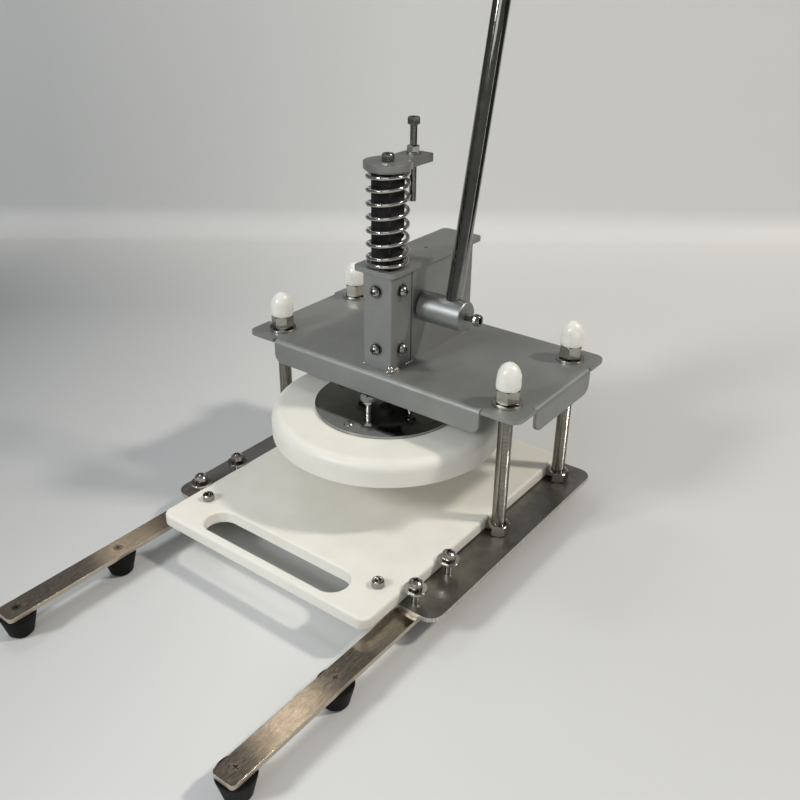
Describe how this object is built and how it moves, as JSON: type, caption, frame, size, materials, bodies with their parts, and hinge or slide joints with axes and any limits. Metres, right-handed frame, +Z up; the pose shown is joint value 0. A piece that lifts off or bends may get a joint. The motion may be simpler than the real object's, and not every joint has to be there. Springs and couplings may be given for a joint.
{
  "type": "hand cake press",
  "caption": "Hand-operated cake press: a forward-swinging lever drives a rack and pinion that lowers a round plastic disc onto a slide-out plastic board on a steel frame.",
  "frame": {"origin": "floor level, at the middle of the bounding box seen from above; the press axis stands 94 mm behind it", "axes": "+X to the lever's side, +Y to the back, away from the board's handle slot, +Z up along the ram"},
  "size_m": [0.292, 0.458, 0.5444],
  "materials": {
    "rail_steel": "brushed",
    "side_steel": "satin",
    "plate_steel": "satin",
    "bright_steel": "polished",
    "mirror_steel": "mirror polished",
    "black_steel": "black oxide",
    "ivory_plastic": "satin",
    "cap_plastic": "glossy",
    "guide_plastic": "satin",
    "black_rubber": "matte",
    "black_plastic": "glossy",
    "bronze": "satin"
  },
  "bodies": {
    "base": {"foot_rail_left": "rail_steel", "foot_rail_right": "rail_steel", "rubber_feet": "black_rubber", "foot_screws": "bright_steel", "side_plate_left": "side_steel", "side_plate_right": "side_steel", "post_front_left": "bright_steel", "post_front_right": "bright_steel", "post_rear_left": "bright_steel", "post_rear_right": "bright_steel", "post_base_nuts": "bright_steel", "post_washers": "bright_steel", "post_top_nuts": "bright_steel", "post_caps": "cap_plastic", "top_plate": "plate_steel", "guide_column": "plate_steel", "gear_housing": "plate_steel", "tower_cover": "plate_steel", "guide_liners": "guide_plastic", "guide_screws": "bright_steel", "guide_spring_washers": "bright_steel", "guide_washers": "bright_steel", "clamp_screws": "bright_steel", "clamp_spring_washers": "bright_steel", "clamp_washers": "bright_steel", "shaft_bushes": "bronze", "return_spring": "bright_steel"},
    "lever": {"pinion": "bright_steel", "pinion_shaft": "bright_steel", "shaft_collar": "bright_steel", "lever_hub": "bright_steel", "lever_rod": "bright_steel", "lever_knob": "black_plastic", "lever_clamp_screw": "bright_steel"},
    "ram": {"ram_rack": "black_steel", "ram_foot": "plate_steel", "ram_foot_bolt": "bright_steel", "ram_cap": "bright_steel", "ram_cap_screw": "bright_steel", "stop_locknut": "bright_steel", "stop_washer": "bright_steel", "levelling_screws": "bright_steel", "levelling_nuts": "bright_steel", "backing_plate": "mirror_steel", "backing_screws": "bright_steel", "press_disc": "ivory_plastic"},
    "stop": {"stop_screw": "bright_steel"},
    "board": {"board": "ivory_plastic", "board_locating_screws": "bright_steel"}
  },
  "joints": [
    {"name": "ram_slide", "type": "slide", "parent": "base", "child": "ram", "axis": [0, 0, -1], "range_m": [0, 0.0466], "stiffness_N_per_m": 3300, "springref_m": -0.016, "deforming": ["return_spring"]},
    {"name": "lever_turn", "type": "hinge", "parent": "base", "child": "lever", "pos_m": [0, 0.124, 0.2], "axis": [1, 0, 0], "range_deg": [0, 121.4]},
    {"name": "stop_adjust", "type": "slide", "parent": "ram", "child": "stop", "axis": [0, 0, 1], "range_m": [0, 0.02]},
    {"name": "board_slide", "type": "slide", "parent": "base", "child": "board", "axis": [0, -1, 0], "range_m": [0, 0.15]}
  ],
  "couplings": [
    {"joint": "lever_turn", "follows": "ram_slide", "rad_per_m": 45.455}
  ]
}
